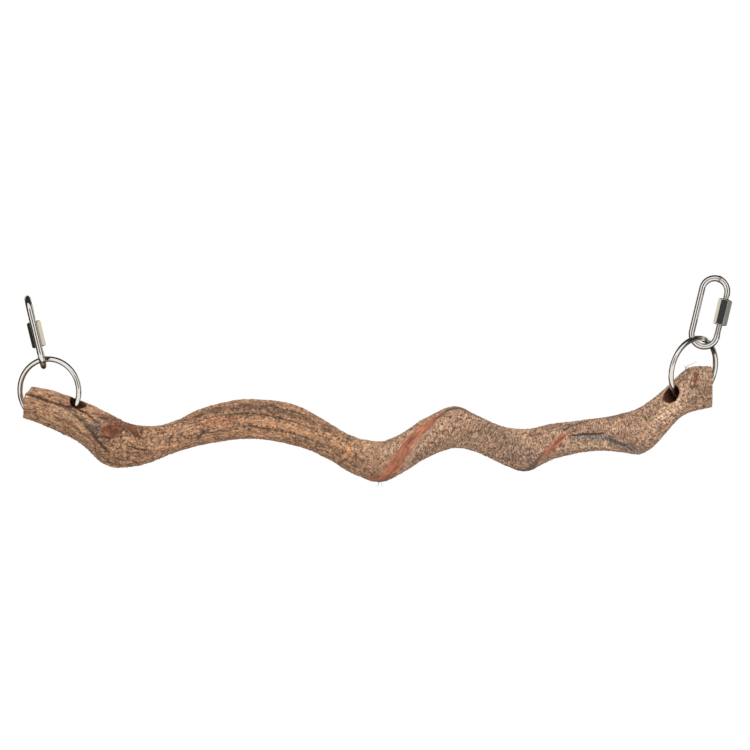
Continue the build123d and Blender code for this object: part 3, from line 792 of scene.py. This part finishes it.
def bark_tone(tree, at, fine, fibrous, relief, rough, fibre):
    """Brightness: cork grains drawn out along the left half and round the right, dust between
    them, fibres along the vine, and ridges lighter than hollows."""
    dust = patches(tree, at, 0.5, (1, 1, 1), 0.0, (0.3, 0.7, 0.64, 1.38), 2.0, 0.8)
    shreds = patches(tree, at, 0.5, (0.4, 1, 1), 0.0, (0.3, 0.7, 0.54, 1.32), 2.0, 0.8)
    dust = add(tree, "Mix", {0: fibrous, 2: dust, 3: shreds}).outputs[0]
    left, right = corky(tree, at, (0.65, 1.1, 1.1)), corky(tree, at, (1.35, 0.8, 0.8))
    cork = add(tree, "Mix", {0: fine, 2: left, 3: right}).outputs[0]
    streaks = add(tree, "MapRange", {"Value": fibre, 3: 0.84, 4: 1.18}).outputs[0]
    height = add(tree, "MapRange", {"Value": relief, 1: -0.8, 2: 0.6, 3: 0.8, 4: 1.17}).outputs[0]
    grains = add(tree, "Math", {0: dust, 1: cork}, operation="MULTIPLY").outputs[0]
    tone = add(tree, "Mix", {0: rough, 2: 0.95, 3: grains}).outputs[0]
    for other in (streaks, height):
        tone = add(tree, "Math", {0: tone, 1: other}, operation="MULTIPLY").outputs[0]
    return tone


def bark_lines(tree, at, fine, fibrous, rough):
    """Thin dark cracks, along the left half and across the right, that fade in and out."""
    flakes = crackle(tree, at, 2.3, (0.7, 1, 1), 0.16, 0.9)
    wrinkles = crackle(tree, at, 1.5, (0.15, 1, 1), 0.11, 0.7)
    ticks = crackle(tree, at, 1.7, (1.2, 0.5, 0.5), 0.17, 0.55)
    broken = patches(tree, at, 1.6, (1, 1, 1), 0.041, (0.38, 0.58, 0.1, 1.0), 2.0)
    lines = add(tree, "Mix", {0: fine, 2: flakes, 3: ticks}).outputs[0]
    lines = add(tree, "Mix", {0: fibrous, 2: lines, 3: wrinkles}).outputs[0]
    for other in (broken, rough):
        lines = add(tree, "Math", {0: lines, 1: other}, operation="MULTIPLY").outputs[0]
    return lines


def end_grain(tree, at):
    """Sawn end: growth rings and open vessels."""
    apart = add(tree, "SeparateXYZ", {0: at})
    radial = add(tree, "CombineXYZ", {1: apart.outputs[1], 2: apart.outputs[2]}).outputs[0]
    rings = add(tree, "TexWave", {"Vector": radial, "Scale": 1 / (6 * MM), "Distortion": 3.0,
                                  "Detail": 2.0, "Detail Scale": 1.5},
                wave_type="RINGS", rings_direction="X").outputs["Fac"]
    pores = add(tree, "TexVoronoi", {"Vector": radial, "Scale": 1 / (1.1 * MM)}).outputs["Distance"]
    pore = add(tree, "MapRange", {"Value": pores, 1: 0.18, 2: 0.3, 3: 0.35, 4: 1.0}).outputs[0]
    wood = add(tree, "ValToRGB", {"Fac": rings}, stops=[
        (0.1, linear("957053")), (0.9, linear("b38c68"))]).outputs[0]
    return add(tree, "VectorMath", {0: wood, 1: pore}, operation="MULTIPLY").outputs[0]


def dry_bark():
    """Dry liana bark: dull, corky and cracked. Tan ridges, dark cracks, red bare patches, and
    sawn end grain and drilled walls where the bark is gone, the walls painted dark as shade in the
    holes."""
    material, tree = new_material("dry_liana_bark")
    at = add(tree, "Attribute", attribute_name="grain").outputs["Vector"]
    stain = add(tree, "Attribute", attribute_name="stain")
    crack, relief, plain, fine, fibrous, cut, bore = [
        add(tree, "Attribute", attribute_name=name).outputs["Fac"]
        for name in ("crack", "relief", "plain", "fine", "fibrous", "cut", "bore")]
    rough = add(tree, "MapRange", {"Value": plain, 3: 1.0, 4: 0.15}).outputs[0]
    fibre = patches(tree, at, 0.7, (0.07, 1, 1), 0.0, (0.3, 0.7, 0.0, 1.0))

    ground = bark_ground(tree, at, fine)
    painted = add(tree, "Mix", {0: stain.outputs["Alpha"], 6: ground, 7: stain.outputs["Color"]},
                  data_type="RGBA").outputs[2]
    tone = bark_tone(tree, at, fine, fibrous, relief, rough, fibre)
    toned = add(tree, "VectorMath", {0: painted, 1: tone}, operation="MULTIPLY").outputs[0]
    lines = bark_lines(tree, at, fine, fibrous, rough)
    split = add(tree, "Math", {0: crack, 1: 0.75}, operation="MULTIPLY").outputs[0]
    dark = add(tree, "Math", {0: lines, 1: split}, operation="MAXIMUM").outputs[0]
    deep = add(tree, "Math", {0: dark, 1: 0.86}, operation="MULTIPLY").outputs[0]
    skin = add(tree, "Mix", {0: deep, 6: toned, 7: linear("3d322c")}, data_type="RGBA").outputs[2]

    # the drilled wall is painted dark: painted shade inside the hole
    shaded_hole_wall = add(tree, "ValToRGB", {"Fac": fibre}, stops=[
        (0.0, linear("2b1812")), (1.0, linear("6b3f2d"))]).outputs[0]
    colour = add(tree, "Mix", {0: cut, 6: skin, 7: end_grain(tree, at)}, data_type="RGBA").outputs[2]
    colour = add(tree, "Mix", {0: bore, 6: colour, 7: shaded_hole_wall}, data_type="RGBA").outputs[2]

    rise = add(tree, "Math", {0: tone, 1: dark}, operation="SUBTRACT").outputs[0]
    bump = add(tree, "Bump", {"Strength": 0.5, "Distance": 0.3 * MM, "Height": rise}).outputs[0]
    gloss = add(tree, "MapRange", {"Value": plain, 3: 0.88, 4: 0.62}).outputs[0]
    shader = add(tree, "BsdfPrincipled", {"Base Color": colour, "Roughness": gloss, "Normal": bump,
                                          "IOR": 1.45, "Specular IOR Level": 0.3})
    add(tree, "OutputMaterial", {"Surface": shader.outputs[0]})
    return material


def plated_wire(name, seam):
    """Drawn steel wire, tumbled and bright nickel plated: mirror like with a warm cast, a light
    haze from handling, and a dull rough skin where it was welded or broken off its rack."""
    material, tree = new_material(name)
    place = add(tree, "TexCoord").outputs["Object"]
    weld = add(tree, "Attribute", attribute_name="weld").outputs["Fac"]
    cloud = add(tree, "TexNoise", {"Vector": place, "Scale": 1 / (3 * MM), "Detail": 3.0}).outputs[0]
    polish = add(tree, "MapRange", {"Value": cloud, 1: 0.3, 2: 0.7, 3: 0.06, 4: 0.15}).outputs[0]
    rough = add(tree, "Mix", {0: weld, 2: polish, 3: 0.5}).outputs[0]
    colour = add(tree, "Mix", {0: weld, 6: linear("eae6df"), 7: linear(seam)},
                 data_type="RGBA").outputs[2]
    shader = add(tree, "BsdfPrincipled", {"Base Color": colour, "Metallic": 1.0,
                                          "Roughness": rough})
    add(tree, "OutputMaterial", {"Surface": shader.outputs[0]})
    return material


def plated_bar():
    """Hexagon bar turned and bored into a sleeve, then nickel plated: flats with faint upright
    rolling lines and softer reflections than the wire."""
    material, tree = new_material("nickel_plated_hex_bar")
    place = add(tree, "TexCoord").outputs["Object"]
    # rolling lines about 0.35 mm apart
    lines = add(tree, "Mapping", {"Vector": place, "Scale": (1, 1, 0.08)}).outputs[0]
    rolled = add(tree, "TexNoise", {"Vector": lines, "Scale": 1 / (0.35 * MM), "Detail": 3.0,
                                    "Roughness": 0.6}).outputs["Fac"]
    polish = add(tree, "MapRange", {"Value": rolled, 1: 0.3, 2: 0.7, 3: 0.06, 4: 0.10}).outputs[0]
    shader = add(tree, "BsdfPrincipled", {"Base Color": linear("e4dfd6"), "Metallic": 1.0,
                                          "Roughness": polish})
    add(tree, "OutputMaterial", {"Surface": shader.outputs[0]})
    return material


# The looks put on the part

bark = bark_branch(dry_bark())
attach(bark, "branch")
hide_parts("branch")
torn = loose_fibres(bark.data.materials[0])
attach(torn, "branch")

ring_steel = plated_wire("nickel_plated_ring_wire", "8d8678")
link_steel = plated_wire("nickel_plated_link_wire", "b0a079")
nut_steel = plated_bar()
weld_towards = {"left": (-0.11, 0, 1), "right": (0.37, 0, 0.93)}
for side in sides:
    for piece, made in (("ring", ring_piece(side, weld_towards[side], ring_steel)),
                        ("link", link_piece(side, link_steel)),
                        ("nut", nut_piece(side, nut_steel))):
        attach(made, side + "_" + piece)
        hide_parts(side + "_" + piece)


# Floor, light and camera, in m

wood_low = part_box("branch")[0]
photo_middle = (0.1938, 0.0590)     # middle of the photograph, from the branch's lower left corner
middle = Vector((wood_low.x + photo_middle[0], 0.0, wood_low.z + photo_middle[1]))
floor_height = cad_low.z - 0.35     # well below the perch
floor_half = 6.0
view_width, view_distance = 0.413, 4.0
flag_aside = 1.5            # distance of the black cards at the sides and above
flag_front, flag_back = -0.85, 5.6  # where they start and end, back from the perch
camera_flag = 1.5           # half the card behind the camera
# Glowing cards that the nuts' flats mirror as painted reflections: the nut, the way there from it,
# half the card, its glow.
nut_cards = {
    "left_nut_card": ("left", (0.842, 0.5, 0.204), 0.26, "pale"),
    "right_nut_card": ("right", (-0.675, 0.719, 0.162), 0.26, "pale"),
    "right_nut_shade": ("right", (0.943, 0.242, -0.226), 0.22, "grey"),
}


def seen_rays(tree):
    """1 for the rays that see the background: from the camera, off metal and through glass."""
    path = add(tree, "LightPath")
    seen = add(tree, "Math", {0: path.outputs["Is Camera Ray"], 1: path.outputs["Is Glossy Ray"]},
               operation="MAXIMUM").outputs[0]
    return add(tree, "Math", {0: seen, 1: path.outputs["Is Transmission Ray"]},
               operation="MAXIMUM").outputs[0]


def white_floor():
    """Plain pale floor well below the hanging perch, as white as the backdrop to the camera."""
    shape = bmesh.new()
    place = Matrix.Translation((middle.x, middle.y, floor_height))
    bmesh.ops.create_grid(shape, x_segments=1, y_segments=1, size=floor_half, matrix=place)
    material, tree = new_material("matt_white_floor")
    paint = add(tree, "BsdfDiffuse", {"Color": linear("e8e8e8")}).outputs[0]
    white = add(tree, "Emission", {"Strength": 1.0}).outputs[0]
    mixed = add(tree, "MixShader", {0: seen_rays(tree), 1: paint, 2: white}).outputs[0]
    add(tree, "OutputMaterial", {"Surface": mixed})
    new_piece("floor", shape, material)


def white_studio():
    """White walls, and an even soft light on the wood."""
    world = bpy.data.worlds.new("white_studio")
    bpy.context.scene.world = world
    world.use_nodes = True
    tree = world.node_tree
    tree.nodes.clear()
    fill = add(tree, "Background", {"Color": (1, 1, 1, 1), "Strength": 0.68}).outputs[0]
    white = add(tree, "Background", {"Color": (1, 1, 1, 1), "Strength": 1.0}).outputs[0]
    mixed = add(tree, "MixShader", {0: seen_rays(tree), 1: fill, 2: white}).outputs[0]
    add(tree, "OutputWorld", {"Surface": mixed})


def card_glow(name, code):
    """Glowing paint of a card, as bright from every side, that is no lamp: for painted reflections
    in the metal.
    """
    material, tree = new_material(name)
    paint = add(tree, "Emission", {"Color": linear(code)}).outputs[0]
    add(tree, "OutputMaterial", {"Surface": paint})
    return material


def stage_card(name, place, material):
    """A card of 2 m, sized by its matrix, that stands out of sight and shades nothing. Only the
    metal shows it."""
    shape = bmesh.new()
    bmesh.ops.create_grid(shape, x_segments=1, y_segments=1, size=1.0, matrix=place)
    card = new_piece(name, shape, material)
    card.visible_camera = card.visible_diffuse = card.visible_shadow = False
    card.visible_transmission = False


def studio_cards():
    """Glowing black cards at the sides, above and below, and a charcoal one behind the camera:
    painted dark reflections, the dark edges that bright wire has in front of a white wall.
    Small glowing cards put painted pale and grey reflections on the nuts' flats."""
    black = card_glow("black_card", "353230")
    lower = (middle.z - floor_height) * 0.97    # just above the floor
    ways = {"left": (-flag_aside, 0), "right": (flag_aside, 0), "top": (0, flag_aside),
            "bottom": (0, -lower)}
    for name, (x, z) in ways.items():
        reach = abs(x + z) / flag_aside
        place = Matrix.Translation(middle + Vector((x, (flag_back + flag_front) / 2 * reach, z)))
        tip = Matrix.Rotation(math.radians(90), 4, "Y") if x else Matrix()
        size = Matrix.Diagonal((flag_aside, (flag_back - flag_front) / 2 * reach, 1, 1))
        stage_card(name + "_flag", place @ tip @ size, black)
    place = Matrix.Translation(middle + Vector((0, -1.1 * view_distance, 0)))
    place = place @ Matrix.Rotation(math.radians(90), 4, "X") @ Matrix.Scale(camera_flag, 4)
    stage_card("camera_flag", place, card_glow("charcoal_card", "43474a"))
    # pale and grey glowing cards: painted reflections on the nuts' flats
    glows = {"pale": card_glow("pale_card", "e9e2d2"), "grey": card_glow("grey_card", "8f9090")}
    for name, (side, way, half, paint) in nut_cards.items():
        low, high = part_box(side + "_nut")
        turn = Vector(way).to_track_quat("Z", "Y").to_matrix().to_4x4()
        place = Matrix.Translation((low + high) / 2 + Vector(way)) @ turn @ Matrix.Scale(half, 4)
        stage_card(name, place, glows[paint])


def soft_box(name, place, aim, size, power):
    """A square soft box aimed at a point."""
    data = bpy.data.lights.new(name, "AREA")
    data.shape, data.size, data.energy = "SQUARE", size, power
    lamp = bpy.data.objects.new(name, data)
    lamp.location = place
    lamp.rotation_euler = (Vector(aim) - Vector(place)).to_track_quat("-Z", "Y").to_euler()
    lamp.visible_glossy = False
    bpy.context.scene.collection.objects.link(lamp)


white_floor()
white_studio()
studio_cards()
soft_box("top_box", middle + Vector((-0.2, -0.7, 1.3)), aim=middle, size=1.1, power=12)
soft_box("front_box", middle + Vector((0.9, -1.6, 0.4)), aim=middle, size=1.2, power=13)

camera_data = bpy.data.cameras.new("camera")
camera_data.sensor_width = 36.0
camera_data.lens = camera_data.sensor_width * view_distance / view_width
camera_data.clip_end = 50
camera = bpy.data.objects.new("camera", camera_data)
camera.location = middle + Vector((0, -view_distance, 0))
camera.rotation_euler = (math.radians(90), 0, 0)
bpy.context.scene.collection.objects.link(camera)
bpy.context.scene.camera = camera
bpy.context.scene.view_settings.view_transform = "Standard"
